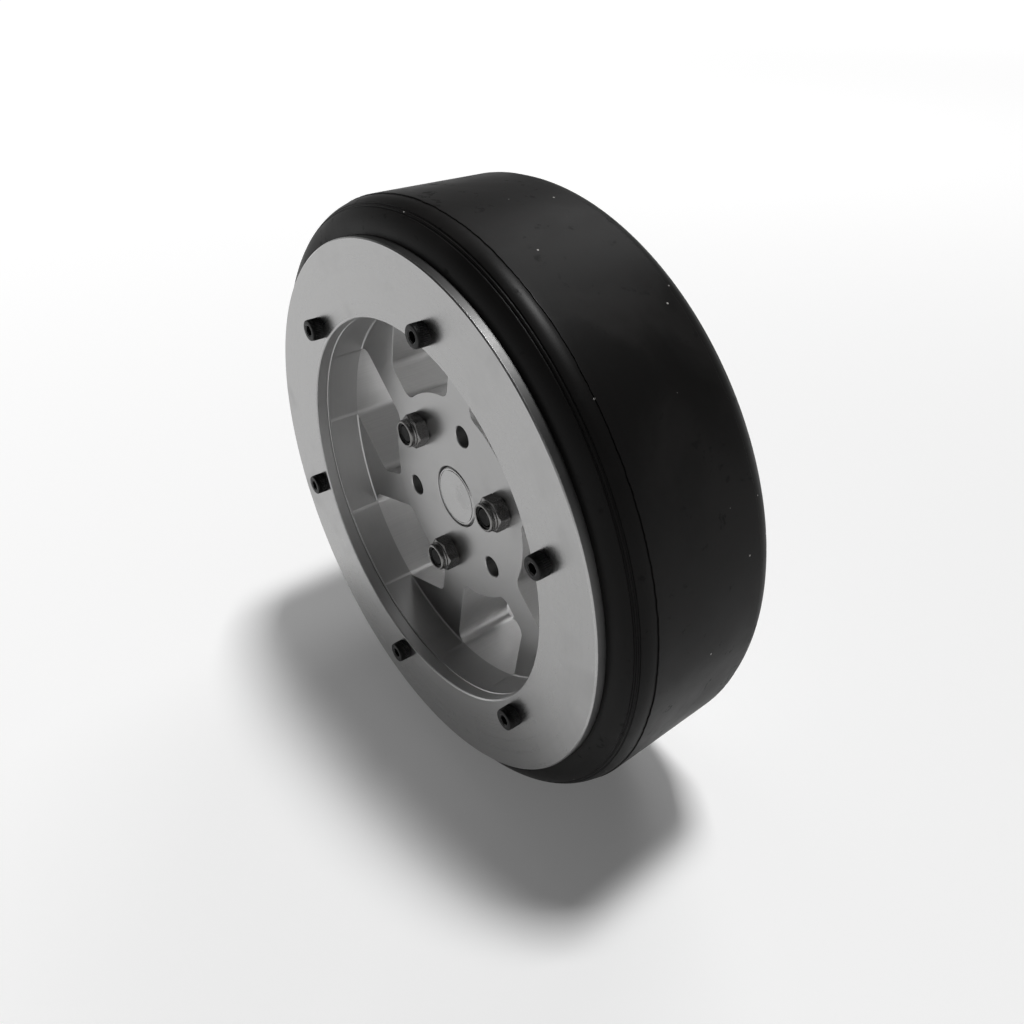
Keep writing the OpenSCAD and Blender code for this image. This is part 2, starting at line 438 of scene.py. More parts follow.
def aluminium(name, look):
    material, nodes, surface = newMaterial(name)
    lines = useGroup(nodes, "turned", Pitch=look["pitch"], Waver=look["waver"])
    milled = useGroup(nodes, "milled", Pitch=look["millPitch"])
    dust = useGroup(nodes, "speckle", Grain=look["grain"], Cloud=look["cloud"])
    edge = useGroup(nodes, "edge", Width=look["edgeWidth"], Break=look["edgeBreak"])["Mask"]
    marks = nodes.math("ADD", nodes.math("MULTIPLY", lines["Lines"], look["turned"]),
                       nodes.math("MULTIPLY", milled["Lines"], look["milled"]))
    tone = nodes.math("ADD", marks, nodes.math("MULTIPLY", dust["Grains"], look["grains"]))
    tone = nodes.math("ADD", tone, nodes.math("MULTIPLY", lines["Bands"], look["bands"]))
    middle = (look["turned"] + look["milled"] + look["grains"] + look["bands"]) / 2
    tone = nodes.math("SUBTRACT", tone, middle)
    colour = nodes.mix(nodes.span(tone, -0.25, 0.25, smooth=False),
                       grey(look["colour"] * (1 - look["contrast"]), look["warm"]),
                       grey(look["colour"] * (1 + look["contrast"]), look["warm"]))
    stain = nodes.span(dust["Clouds"], 0.5, 0.75)
    colour = nodes.mix(nodes.math("MULTIPLY", stain, look["stain"]), colour,
                       grey(look["colour"] * 0.6, look["warm"]))
    # edges made paler: partly wear, partly painted highlight
    colour = nodes.mix(nodes.math("MULTIPLY", edge, look["edge"]), colour, grey(look["edgeColour"]))
    nodes.put(surface, "Base Color", colour)
    nodes.put(surface, "Metallic", 1.0)
    rough = nodes.math("ADD", look["rough"],
                       nodes.math("MULTIPLY", nodes.math("ADD", tone, stain), look["roughVary"]))
    nodes.put(surface, "Roughness", rough)
    addBump(nodes, surface, look, tone)
    # turned marks spread the gloss across them
    nodes.put(surface, "Anisotropic", look["spread"])
    nodes.put(surface, "Anisotropic Rotation", 0.25)
    tangent = nodes.add("ShaderNodeTangent", {"direction_type": "RADIAL", "axis": "Y"})
    nodes.put(surface, "Tangent", tangent.outputs[0])
    return material


ringLook = {
    "colour": 0.385, "warm": 0.004, "contrast": 0.05,
    "pitch": 0.16, "waver": 0.5, "turned": 0.35, "bands": 0.3,
    "millPitch": 0.3, "milled": 0.0,
    "grain": 0.16, "grains": 0.5, "cloud": 16, "stain": 0.1,
    "edgeWidth": 0.3, "edgeBreak": 0.6, "edge": 0.5, "edgeColour": 0.85,
    "rough": 0.28, "roughVary": 0.1, "bump": 0.25, "bumpDepth": 0.01, "spread": 0.3,
}
# the ring's outer wall is the same aluminium painted much darker: painted shade that dims its reflection
ringEdgeShadeLook = dict(ringLook, colour=0.15, rough=0.42)
webLook = dict(ringLook, colour=0.36, rough=0.3, pitch=0.22, turned=0.4, edge=0.25)
# the window walls, barrel and rear barrel are the web's aluminium made lighter: painted light in the
# rim's recess, over their real milled and turned lines
wallPaintedLightLook = dict(webLook, colour=0.66, rough=0.45, turned=0.1, milled=0.9, millPitch=0.35,
                contrast=0.07, bump=0.3, bumpDepth=0.015, edge=0.3, spread=0.0)
barrelPaintedLightLook = dict(webLook, colour=0.46, rough=0.5, pitch=0.3, turned=0.6, bump=0.3, edge=0.4,
                  spread=0.6)
innerPaintedLightLook = dict(barrelPaintedLightLook, colour=0.7, rough=0.45)
# the joint, hole chamfers and corner chamfer take a lighter copy: a painted highlight line
lineHighlightLook = dict(webLook, colour=0.42, rough=0.32)
# hole walls are a darker copy of the aluminium: painted shade inside the holes
holeShadeLook = dict(webLook, colour=0.3, rough=0.5, edge=0.1)
hubLook = dict(webLook, colour=0.38, rough=0.24, pitch=0.18, turned=0.5)


def blackOxide(name, look):
    material, nodes, surface = newMaterial(name)
    dust = useGroup(nodes, "speckle", Grain=look["grain"], Cloud=look["cloud"])
    edge = useGroup(nodes, "edge", Width=look["edgeWidth"], Break=look["edgeBreak"])["Mask"]
    colour = nodes.mix(dust["Grains"], grey(look["dark"]), grey(look["light"]))
    # edges made paler: partly wear, partly painted highlight
    colour = nodes.mix(nodes.math("MULTIPLY", edge, look["edge"]), colour, grey(look["edgeColour"]))
    nodes.put(surface, "Base Color", colour)
    nodes.put(surface, "Metallic", look["metal"])
    nodes.put(surface, "Specular IOR Level", look["gloss"])
    rough = nodes.span(dust["Clouds"], 0.3, 0.7, look["rough"], look["rough"] + look["roughVary"])
    nodes.put(surface, "Roughness", rough)
    addBump(nodes, surface, look, dust["Grains"])
    return material


screwLook = {
    "dark": 0.009, "light": 0.02, "metal": 0.75, "gloss": 0.3, "rough": 0.42, "roughVary": 0.12,
    "grain": 0.2, "cloud": 2.0, "bump": 0.3, "bumpDepth": 0.02,
    "edgeWidth": 0.14, "edgeBreak": 0.4, "edge": 0.55, "edgeColour": 0.3,
}
# the screw ends inside the nuts are the same black oxide made darker: painted shade
screwEndShadeLook = dict(screwLook, dark=0.005, light=0.01, gloss=0.15, rough=0.5)


def zincSteel(name, look):
    material, nodes, surface = newMaterial(name)
    dust = useGroup(nodes, "speckle", Grain=look["grain"], Cloud=look["cloud"])
    edge = useGroup(nodes, "edge", Width=look["edgeWidth"], Break=look["edgeBreak"])["Mask"]
    colour = nodes.mix(nodes.span(dust["Clouds"], 0.35, 0.7), grey(look["light"], 0.01),
                       grey(look["dark"], 0.03))
    # edges made paler: partly wear, partly painted highlight
    colour = nodes.mix(nodes.math("MULTIPLY", edge, look["edge"]), colour, grey(look["edgeColour"]))
    nodes.put(surface, "Base Color", colour)
    nodes.put(surface, "Metallic", 1.0)
    rough = nodes.span(dust["Grains"], 0.3, 0.7, look["rough"], look["rough"] + look["roughVary"])
    nodes.put(surface, "Roughness", rough)
    addBump(nodes, surface, look, dust["Grains"])
    return material


nutLook = {
    "dark": 0.18, "light": 0.23, "rough": 0.22, "roughVary": 0.1,
    "grain": 0.15, "cloud": 1.6, "bump": 0.2, "bumpDepth": 0.015,
    "edgeWidth": 0.1, "edgeBreak": 0.3, "edge": 0.2, "edgeColour": 0.8,
}


def nylon(name, look):
    material, nodes, surface = newMaterial(name)
    dust = useGroup(nodes, "speckle", Grain=look["grain"], Cloud=look["cloud"])
    nodes.put(surface, "Base Color", nodes.mix(dust["Grains"], grey(look["dark"]), grey(look["light"])))
    rough = nodes.span(dust["Clouds"], 0.3, 0.7, look["rough"], look["rough"] + look["roughVary"])
    nodes.put(surface, "Roughness", rough)
    nodes.put(surface, "Specular IOR Level", look["gloss"])
    addBump(nodes, surface, look, dust["Grains"])
    return material


insertLook = {
    "dark": 0.008, "light": 0.016, "grain": 0.3, "cloud": 2.0,
    "rough": 0.4, "roughVary": 0.15, "gloss": 0.25, "bump": 0.2, "bumpDepth": 0.02,
}


rubberLook = {
    "black": (0.004, 0.0038, 0.0037, 1), "bloom": (0.012, 0.0113, 0.011, 1),
    "scuff": (0.002, 0.002, 0.002, 1), "dust": (0.35, 0.34, 0.33, 1),
    "grain": 0.45, "cloud": 22.0, "clouds": 0.6,
    "linePitch": 0.3, "lineWaver": 1.5, "lines": 0.25,
    "scuffGrain": 1.6, "scuffCloud": 5.0, "scuffs": 0.7, "scuffRough": 0.15,
    "gritPerMm": 0.16, "gritFrom": 0.045, "gritTo": 0.03,
    "rough": 0.4, "roughVary": 0.1, "gloss": 0.1,
    "bump": 0.35, "bumpDepth": 0.03, "bumpGrains": 0.6, "bumpLines": 0.4,
}


def rubber(name, look):
    material, nodes, surface = newMaterial(name)
    lines = useGroup(nodes, "turned", Pitch=look["linePitch"], Waver=look["lineWaver"])["Lines"]
    dust = useGroup(nodes, "speckle", Grain=look["grain"], Cloud=look["cloud"])
    bloom = nodes.span(dust["Clouds"], 0.38, 0.72)
    colour = nodes.mix(nodes.math("MULTIPLY", bloom, look["clouds"]), look["black"], look["bloom"])
    colour = nodes.mix(nodes.math("MULTIPLY", lines, look["lines"]), colour, look["bloom"])
    rubs = useGroup(nodes, "speckle", Grain=look["scuffGrain"], Cloud=look["scuffCloud"])
    scuff = nodes.math("MULTIPLY", nodes.span(rubs["Clouds"], 0.6, 0.66),
                       nodes.span(rubs["Grains"], 0.45, 0.6))
    colour = nodes.mix(nodes.math("MULTIPLY", scuff, look["scuffs"]), colour, look["scuff"])
    cells = nodes.add("ShaderNodeTexVoronoi", {"feature": "F1"},
                      Vector=nodes.placeInMm(), Scale=look["gritPerMm"], Randomness=1.0)
    grit = nodes.span(cells.outputs["Distance"], look["gritFrom"], look["gritTo"])
    nodes.put(surface, "Base Color", nodes.mix(grit, colour, look["dust"]))
    rough = nodes.math("ADD", look["rough"], nodes.math("MULTIPLY", bloom, look["roughVary"]))
    rough = nodes.math("ADD", rough, nodes.math("MULTIPLY", scuff, look["scuffRough"]))
    nodes.put(surface, "Roughness", rough)
    nodes.put(surface, "Specular IOR Level", look["gloss"])
    height = nodes.math("ADD", nodes.math("MULTIPLY", dust["Grains"], look["bumpGrains"]),
                        nodes.math("MULTIPLY", lines, look["bumpLines"]))
    addBump(nodes, surface, look, height)
    return material


materials = {
    "ring": aluminium("ringTurned", ringLook),
    "ringEdge": aluminium("ringEdgeTurnedPaintedShade", ringEdgeShadeLook),
    "web": aluminium("webTurned", webLook),
    "wall": aluminium("windowMilledPaintedLight", wallPaintedLightLook),
    "barrel": aluminium("barrelTurnedPaintedLight", barrelPaintedLightLook),
    "inner": aluminium("innerTurnedPaintedLight", innerPaintedLightLook),
    "line": aluminium("jointPaintedHighlight", lineHighlightLook),
    "hole": aluminium("drilledHolePaintedShade", holeShadeLook),
    "hub": aluminium("hubTurned", hubLook),
    "screw": blackOxide("screwBlack", screwLook),
    "screwEnd": blackOxide("screwEndBlackPaintedShade", screwEndShadeLook),
    "nut": zincSteel("nutZinc", nutLook),
    "insert": nylon("insertNylon", insertLook),
    "rubber": rubber("tyreRubber", rubberLook),
}
print("materials made")


tyreShape = {
    "boreR": 58.02, "gap": 0.1, "bulge": 0.6, "treadHalf": 15.35, "trimStep": 0.3,
    "treadLip": 0.12, "treadDip": 0.06, "grooves": (49, 56), "grooveR": 0.28,
    "ragged": 0.16, "raggedDip": 0.06, "trimReach": 0.5, "trimWaver": 0.25, "wave": 0.025,
    "segments": 720, "treadRows": 14,
}


def makeTyre():
    s = tyreShape
    shoulderIn = flangeR + s["gap"]
    shoulderTop = seatFront + s["bulge"]
    rise = treadR - s["trimStep"] - shoulderIn
    drop = shoulderTop - s["treadHalf"]

    def shoulderPoint(degrees, side):
        a = math.radians(degrees)
        return Vector((shoulderIn + rise * math.sin(a), side * (s["treadHalf"] + drop * math.cos(a))))

    def grooved(degrees, side):
        # the shoulder's ellipse with the round mould lines sunk into it
        point = shoulderPoint(degrees, side)
        inward = (shoulderPoint(degrees + 1, side) - shoulderPoint(degrees - 1, side)).normalized()
        inward = Vector((-abs(inward.y), -side * abs(inward.x)))
        for groove in s["grooves"]:
            away = (point - shoulderPoint(groove, side)).length
            if away < s["grooveR"]:
                point = point + inward * math.sqrt(s["grooveR"] ** 2 - away ** 2)
        return point

    # degrees along a shoulder, close together over the mould lines
    steps = [0, 4, 8, 13, 18, 24, 30, 36, 42, 45, 46.5]
    steps += [46.5 + 0.5 * k for k in range(1, 25)] + [62, 67, 72, 77, 82, 86, 90]
    front = [grooved(d, 1) for d in steps]
    back = [grooved(d, -1) for d in reversed(steps)]
    rows, half, lip = s["treadRows"], s["treadHalf"], s["treadLip"]
    tread = [Vector((treadR, half - 2 * half * k / rows)) for k in range(rows + 1)]
    edgeFront = [Vector((treadR - s["treadDip"], half)), Vector((treadR, half - lip))]
    edgeBack = [Vector((treadR, -half + lip)), Vector((treadR - s["treadDip"], -half))]
    outline = [Vector((s["boreR"], seatFront)), Vector((shoulderIn, seatFront))]
    outline += front + edgeFront + tread[1:-1] + edgeBack + back
    outline += [Vector((shoulderIn, -seatFront)), Vector((s["boreR"], -seatFront))]

    def shape(r, z, angle):
        if r < shoulderIn + 0.5:
            return r, z
        along = Vector((math.cos(angle), math.sin(angle), 0))
        # the trimmed edges of the tread are cut a little unevenly
        near = math.exp(-((abs(z) - half) / s["trimReach"]) ** 2)
        rag = noise.noise(along * 42 + Vector((0, 0, z))) + 0.5 * noise.noise(along * 110)
        slow = noise.noise(along * 5 + Vector((0, 0, 9 + z)))
        if near > 0.05:
            z += (s["ragged"] * rag + s["trimWaver"] * slow) * near * (1 if z > 0 else -1)
            r -= abs(rag) * s["raggedDip"] * near
        # the whole tread swells and sinks slowly round the wheel
        swell = noise.noise(along * 2.2 + Vector((0, 0, z * 0.07)))
        r -= s["wave"] * (1 + swell)
        return r, z

    mesh = spin(outline, s["segments"], shape=shape)
    addPiece("tyre_rubber", mesh, [materials["rubber"]], "tyre_rubber", "tyre", sharp=50)


ringShape = {
    "holeR": 49.5, "edge": 0.3, "backEdge": 0.05, "outerEdge": 0.1, "soft": 0.1,
    "clearR": 1.7, "cutPast": 1, "segments": 512,
}
ringFinishesAndPaintedLight = ("ring", "ringEdge", "barrel")


def makeRing():
    s = ringShape
    e, soft, holeR, outerEdge = s["edge"], s["soft"], s["holeR"], s["outerEdge"]
    outline = softOutline([
        (holeR + s["backEdge"], seatFront), (holeR, seatFront + s["backEdge"]),
        (holeR, wheelFront - e, soft), (holeR + e, wheelFront, soft),
        (flangeR - e, wheelFront, soft), (flangeR, wheelFront - e, soft),
        (flangeR, seatFront + outerEdge, soft / 2), (flangeR - outerEdge, seatFront),
    ])
    mesh = spin(outline, s["segments"])
    low, high = seatFront - s["cutPast"], wheelFront + s["cutPast"]
    mesh = cutAway(mesh, [moved(plug(s["clearR"], low, high, 32), onBolt(boltRingR, angle))
                          for angle in boltAngles])
    addPiece("clamp_ring", mesh, [materials[m] for m in ringFinishesAndPaintedLight], "ring_aluminium", "front_ring")
    for face in mesh.polygons:
        r = math.hypot(face.center.x, face.center.z) / mm
        # the outer wall takes the darker copy, painted shade
        if r > flangeR - outerEdge:
            face.material_index = ringFinishesAndPaintedLight.index("ringEdge")
        # the bore wall takes the barrel's lighter copy, painted light
        elif r < holeR + 0.05:
            face.material_index = ringFinishesAndPaintedLight.index("barrel")


rimShape = {
    "boreR": 50.0, "wallR": 58.0, "spokeT": 16.8, "pocketGap": 0.3,
    "corner": 0.3, "edge": 0.3, "joint": 0.45,  # broken edges, and the bead at the clamp ring
    "soft": 0.1, "fineSoft": 0.05, "backSoft": 0.2,
    "spigotHoleR": 8.3, "spigotEdge": 0.15, "hubHoleR": 2.75, "holeEdge": 0.2,
    "tapR": 1.5, "tapDepth": 9, "segments": 360,
}
rimFinishesAndPaintedLight = ("web", "barrel", "wall", "inner", "line", "hole")
windowShape = {
    "bossR": 27.7, "outR": 50.2,  # its inner and outer arcs
    "near": 7.5, "far": 32.0, "side": 1.6, "slant": 60,  # its two level walls and the slanted one
    "cutterR": 3.0, "lip": 0.08, "cutPast": 0.5, "belowSeat": 1,
    "arcSteps": 10, "longSteps": 40,
}


def windowLoop(grow, z):
    # one window's outline, grown by a little for its broken edge
    s = windowShape
    near, far, side = s["near"] - grow, s["far"] + grow, s["side"] - grow
    bossR, outR, tool = s["bossR"] - grow, s["outR"], s["cutterR"] + grow
    slant = math.radians(s["slant"])
    across = Vector((math.sin(slant), -math.cos(slant)))

    def arc(middle, radius, first, last, steps):
        while last < first - math.pi:
            last += fullTurn
        while last > first + math.pi:
            last -= fullTurn
        return [middle + radius * Vector((math.cos(a), math.sin(a)))
                for a in (first + (last - first) * k / steps for k in range(steps + 1))]

    def bearing(v):
        return math.atan2(v.y, v.x)

    nearIn = Vector((math.sqrt((bossR + tool) ** 2 - (near + tool) ** 2), near + tool))
    nearOut = Vector((math.sqrt((outR - tool) ** 2 - (near + tool) ** 2), near + tool))
    farOut = Vector((math.sqrt((outR - tool) ** 2 - (far - tool) ** 2), far - tool))
    farSide = Vector((((side + tool) - across.y * (far - tool)) / across.x, far - tool))
    lean = slant - math.asin((side + tool) / (bossR + tool))
    sideIn = (bossR + tool) * Vector((math.cos(lean), math.sin(lean)))
    down, up = -math.pi / 2, math.pi / 2
    n, m = s["arcSteps"], s["longSteps"]
    zero = Vector((0, 0))
    loop = arc(nearIn, tool, bearing(-nearIn), down, n)
    loop += arc(nearOut, tool, down, bearing(nearOut), n)
    loop += arc(zero, outR, bearing(nearOut), bearing(farOut), m)[1:-1]
    loop += arc(farOut, tool, bearing(farOut), up, n)
    loop += arc(farSide, tool, up, bearing(-across), n)
    loop += arc(sideIn, tool, bearing(-across), bearing(-sideIn), n)
    loop += arc(zero, bossR, bearing(sideIn), bearing(nearIn), m)[1:-1]
    return [(p.x, p.y, z) for p in loop]


def windowCutter(spokeBack):
    s = windowShape
    lip = s["lip"]
    return stack([
        windowLoop(lip, spokeBack - s["cutPast"]), windowLoop(lip, spokeBack),
        windowLoop(0, spokeBack + lip), windowLoop(0, webFront - lip),
        windowLoop(lip, webFront), windowLoop(lip, seatFront - s["belowSeat"]),
    ])


def holeCutter(r, low, high, bevel):
    # a through hole with its two edges broken
    return spin([
        (0, low - 1), (r + bevel, low - 1), (r + bevel, low), (r, low + bevel),
        (r, high - bevel), (r + bevel, high), (r + bevel, high + 1), (0, high + 1),
    ], 48, closed=False)


def makeRim():
    s = rimShape
    e, corner, joint = s["edge"], s["corner"], s["joint"]
    soft, fineSoft, backSoft = s["soft"], s["fineSoft"], s["backSoft"]
    boreR, holeR, holeEdge = s["boreR"], s["spigotHoleR"], s["spigotEdge"]
    spokeBack = webFront - s["spokeT"]
    pocketR = hubShape["flangeR"] + s["pocketGap"]
    outline = softOutline([
        (holeR, webBack + holeEdge, fineSoft), (holeR, webFront - holeEdge, fineSoft),
        (holeR + holeEdge, webFront, fineSoft),
        (boreR - corner, webFront, soft), (boreR, webFront + corner, soft),
        (boreR, seatFront - 2 * joint), (boreR - joint, seatFront - joint), (boreR, seatFront),
        (s["wallR"], seatFront),
        (s["wallR"], -seatFront), (flangeR, -seatFront, soft),
        (flangeR, wheelBack + e, soft), (flangeR - e, wheelBack, soft),
        (boreR + 2 * e, wheelBack, soft), (boreR, wheelBack + 2 * e, soft),
        (boreR, spokeBack - corner, backSoft), (boreR - corner, spokeBack, backSoft),
        (pocketR + e, spokeBack, soft), (pocketR, spokeBack + e, soft), (pocketR, webBack),
        (holeR + holeEdge, webBack, fineSoft),
    ])
    mesh = spin(outline, s["segments"])
    cutters = []
    for angle in boltAngles:
        cutters.append(moved(windowCutter(spokeBack), onBolt(0, angle)))
        hole = holeCutter(s["hubHoleR"], webBack, webFront, s["holeEdge"])
        cutters.append(moved(hole, onBolt(hubBoltR, angle)))
        tap = plug(s["tapR"], seatFront - s["tapDepth"], seatFront + 1, 32)
        cutters.append(moved(tap, onBolt(boltRingR, angle)))
    mesh = cutAway(mesh, cutters)
    addPiece("rim_body", mesh, [materials[m] for m in rimFinishesAndPaintedLight], "rim_aluminium", "rim")
    holes = [Vector((hubBoltR * math.cos(a), hubBoltR * math.sin(a))) for a in boltAngles]
    # each face gets its material by its place and the way it faces, with small margins in millimetres;
    # barrel, wall and inner take lighter copies (painted light), hole a darker one (painted shade), line
    # a lighter one (painted highlight)
    for face in mesh.polygons:
        spot, way = face.center / mm, face.normal
        flat = Vector((spot.x, spot.z))
        r, depth = flat.length, -spot.y
        inSpoke = spokeBack + 0.1 < depth < webFront - 0.1
        toHole = min((flat - hole).length for hole in holes) - s["hubHoleR"]
        slanted = 0.3 < abs(way.y) < 0.9
        atCorner = webFront < depth < webFront + corner and r > boreR - 2 * corner
        # these faces take the lighter line copy, a painted highlight
        if depth > seatFront - joint and r < boreR + 0.1 and way.y < -0.3:
            finishOrPaintedLight = "line"
        elif slanted and (toHole < 0.4 or atCorner):
            finishOrPaintedLight = "line"
        elif abs(way.y) > 0.9:
            finishOrPaintedLight = "web"
        elif inSpoke and toHole < 0.1:
            finishOrPaintedLight = "hole"
        elif inSpoke and pocketR + 0.2 < r < boreR + 0.3:
            finishOrPaintedLight = "wall"
        elif r < boreR + 0.1 and depth < webBack:
            finishOrPaintedLight = "inner"
        else:
            finishOrPaintedLight = "barrel"
        face.material_index = rimFinishesAndPaintedLight.index(finishOrPaintedLight)


hubShape = {
    "spigotR": 8.0, "flangeR": 26.0, "flangeT": 7.5, "bossR": 15.0, "bossLen": 20.0, "shaftR": 6.0,
    "shaftDepth": 26.0, "edge": 0.3, "soft": 0.1, "rootSoft": 0.25, "holeR": 2.75, "holeEdge": 0.2,
    "setR": 2.5, "setReach": 30, "segments": 192,
    # the fine groove round the spigot's face, as steps in from its edge and down
    "groove": ((0.95, 0), (0.92, 0.25), (0.75, 0.25), (0.72, 0.04)), "spigotEdge": 0.4, "faceDip": 0.04,
}
hubFinishesAndPaintedShade = ("hub", "hole")


def makeHub():
    s = hubShape
    e, soft, spigotR, spigotEdge = s["edge"], s["soft"], s["spigotR"], s["spigotEdge"]
    flangeR, bossR, shaftR = s["flangeR"], s["bossR"], s["shaftR"]
    flangeBack = webBack - s["flangeT"]
    bossEnd = flangeBack - s["bossLen"]
    outline = [(0, webFront)]
    outline += [(spigotR - inset, webFront - down) for inset, down in s["groove"]]
    outline += [
        (spigotR - spigotEdge, webFront - s["faceDip"], 0.05), (spigotR, webFront - spigotEdge, soft),
        (spigotR, webBack), (flangeR - e, webBack, soft), (flangeR, webBack - e, soft),
        (flangeR, flangeBack + e, soft), (flangeR - e, flangeBack, soft),
        (bossR, flangeBack, s["rootSoft"]), (bossR, bossEnd + 2 * e, soft),
        (bossR - 2 * e, bossEnd, soft), (shaftR + 2 * e, bossEnd, soft), (shaftR, bossEnd + 2 * e, soft),
        (shaftR, bossEnd + s["shaftDepth"]), (0, bossEnd + s["shaftDepth"] + shaftR / 2),
    ]
    mesh = spin(softOutline(outline), s["segments"], closed=False)
    mesh = cutAway(mesh, [moved(holeCutter(s["holeR"], flangeBack, webBack, s["holeEdge"]),
                                onBolt(hubBoltR, angle)) for angle in boltAngles])
    for node in ("set_screw_1", "set_screw_2"):
        mesh = cutAway(mesh, [moved(plug(s["setR"], 0, s["setReach"], 40), acrossBoss(node, 0))])
    addPiece("hub_body", mesh, [materials[m] for m in hubFinishesAndPaintedShade], "hub_aluminium", "shaft_hub")
    for face in mesh.polygons:
        spot = face.center / mm
        inHole = abs(math.hypot(spot.x, spot.z) - hubBoltR) < s["holeR"] + 0.1
        # the hole walls take the darker copy, painted shade
        if inHole and flangeBack < -spot.y < webBack and abs(face.normal.y) < 0.9:
            face.material_index = hubFinishesAndPaintedShade.index("hole")


ringScrew = {
    "threadR": 1.48, "pitch": 0.5, "headR": 2.75, "headH": 3.0, "flats": 2.5, "length": 10.0,
    "teeth": 36, "knurl": 0.12, "perTooth": 6, "turn": 0.7,
}
hubScrew = {
    "threadR": 2.48, "pitch": 0.8, "headR": 4.25, "headH": 5.0, "flats": 4.0, "length": 16.0,
    "teeth": 48, "knurl": 0.15, "perTooth": 6, "turn": 1.1,
}
setScrew = {
    "threadR": 2.48, "pitch": 0.8, "length": 8.0, "flats": 2.5, "outR": 14.5,
    "threadDepth": 0.4, "rows": 48, "segments": 96,
}


def threadCrest(z, angle, pitch):
    # 0 at the root of a thread, 1 on its crest
    wave = abs(((z / pitch - angle / fullTurn) % 1) * 2 - 1)
    return min(1, max(0, wave * 1.25 - 0.05))


def capScrew(s):
    # socket head screw, seat at z = 0, head above
    headR, headH, threadR, flats = s["headR"], s["headH"], s["threadR"], s["flats"]
    length, pitch = s["length"], s["pitch"]
    bevel = threadR * 0.2
    knurlTop = headH - headH * 0.17
    segments = s["teeth"] * s["perTooth"]
    rows = int(length / (pitch / 6))
    root = threadR - pitch * 0.55
    plain = 0.3  # under the head, with no thread
    outline = [(0, -length), (root, -length)]
    outline += [(threadR, -length + length * k / rows) for k in range(1, rows)]
    outline += [(threadR, -0.02), (headR - 0.12, 0), (headR, 0.12), (headR, 0.3)]
    outline += [(headR, 0.3 + (knurlTop - 0.5) * k / 4) for k in range(1, 4)]
    outline += [(headR, knurlTop - 0.12), (headR - 0.04, knurlTop)]
    for k in range(5):
        a = math.radians(22.5 * k)
        outline.append((headR - bevel + (bevel - 0.04) * math.cos(a),
                        headH - bevel + bevel * math.sin(a)))
    outline.append((0, headH))

    def shape(r, z, angle):
        if 0.05 < z < knurlTop - 0.02 and r > headR - 0.01:
            tooth = 0.5 + 0.5 * math.cos(angle * s["teeth"])
            fade = min(1, (knurlTop - z) / 0.25)
            r -= s["knurl"] * (1 - tooth) * fade
        elif z < -plain and r > root:
            crest = threadCrest(z, angle, pitch)
            tip = min(1, (z + length) / (pitch * 1.2))
            start = min(1, (-z - plain) / (pitch * 2))
            r = root + (threadR - root) * max(crest * tip, 1 - start)
        return r, z

    mesh = spin(outline, segments, closed=False, shape=shape)
    depth = headH / 2
    drillPoint = spin([(0, depth - flats * 0.28), (flats * 0.49, depth + 0.01), (0, depth + 0.2)],
                      24, closed=False)
    mouthR = hexCornerR(flats)
    mouth = spin([(0, headH - bevel), (mouthR - 0.02, headH - 0.16),
                  (mouthR + 0.16, headH + 0.02), (0, headH + 0.05)], 48, closed=False)
    for cutter in (hexPrism(flats, depth, headH + 1), drillPoint, mouth):
        mesh = cutAway(mesh, [cutter])
    return mesh


def makeCapScrews():
    for k in range(1, 7):
        r, angle = boltPlace(f"ring_screw_{k}")
        place = onBolt(r, angle, wheelFront) @ Matrix.Rotation(ringScrew["turn"] * k, 4, "Z")
        addPiece(f"ring_cap_screw_{k}", moved(capScrew(ringScrew), place), [materials["screw"]],
                 "black_screw", f"ring_screw_{k}")
    seat = webBack - hubShape["flangeT"]
    headDown = Matrix.Rotation(math.pi, 4, "X")
    for k in range(1, 4):
        r, angle = boltPlace(f"hub_screw_{k}")
        place = onBolt(r, angle, seat) @ headDown @ Matrix.Rotation(hubScrew["turn"] * k, 4, "Z")
        mesh = moved(capScrew(hubScrew), place)
        addPiece(f"hub_cap_screw_{k}", mesh, [materials["screw"], materials["screwEnd"]],
                 "black_screw", f"hub_screw_{k}")
        # the end faces take the darker copy, painted shade
        for face in mesh.polygons:
            if -face.center.y / mm > webFront:
                face.material_index = 1  # the end, seen inside the nut


def makeSetScrews():
    s = setScrew
    threadR, length, rows = s["threadR"], s["length"], s["rows"]
    root = threadR - s["threadDepth"]
    outline = [(0, -length + 0.7), (1.2, -length), (root, -length + 0.5)]
    outline += [(threadR, -length + 0.6 + (length - 0.9) * k / rows) for k in range(rows + 1)]
    outline += [(threadR - 0.3, 0), (0, 0)]

    def shape(r, z, angle):
        if r > root and -length + 0.55 < z < -0.05:
            r = root + (threadR - root) * threadCrest(z, angle, s["pitch"])
        return r, z

    for k in (1, 2):
        mesh = cutAway(spin(outline, s["segments"], closed=False, shape=shape),
                       [hexPrism(s["flats"], -3, 1)])
        addPiece(f"set_screw_piece_{k}", moved(mesh, acrossBoss(f"set_screw_{k}", s["outR"])),
                 [materials["screw"]], "black_screw", f"set_screw_{k}")


nutShape = {
    "flats": 8.0, "hexH": 3.3, "height": 5.0, "footR": 3.8, "neckR": 3.55, "collarR": 3.65,
    "lipR": 2.95, "insertR": 3.3, "insertLow": 2.9, "insertHigh": 4.5, "threadR": 2.5,
    "turns": (20, 7, 19), "segments": 144, "insertSegments": 72,
    "endRows": (0.0, 0.03, 0.07, 0.12, 0.18, 0.25, 0.33, 0.42, 0.55),
}


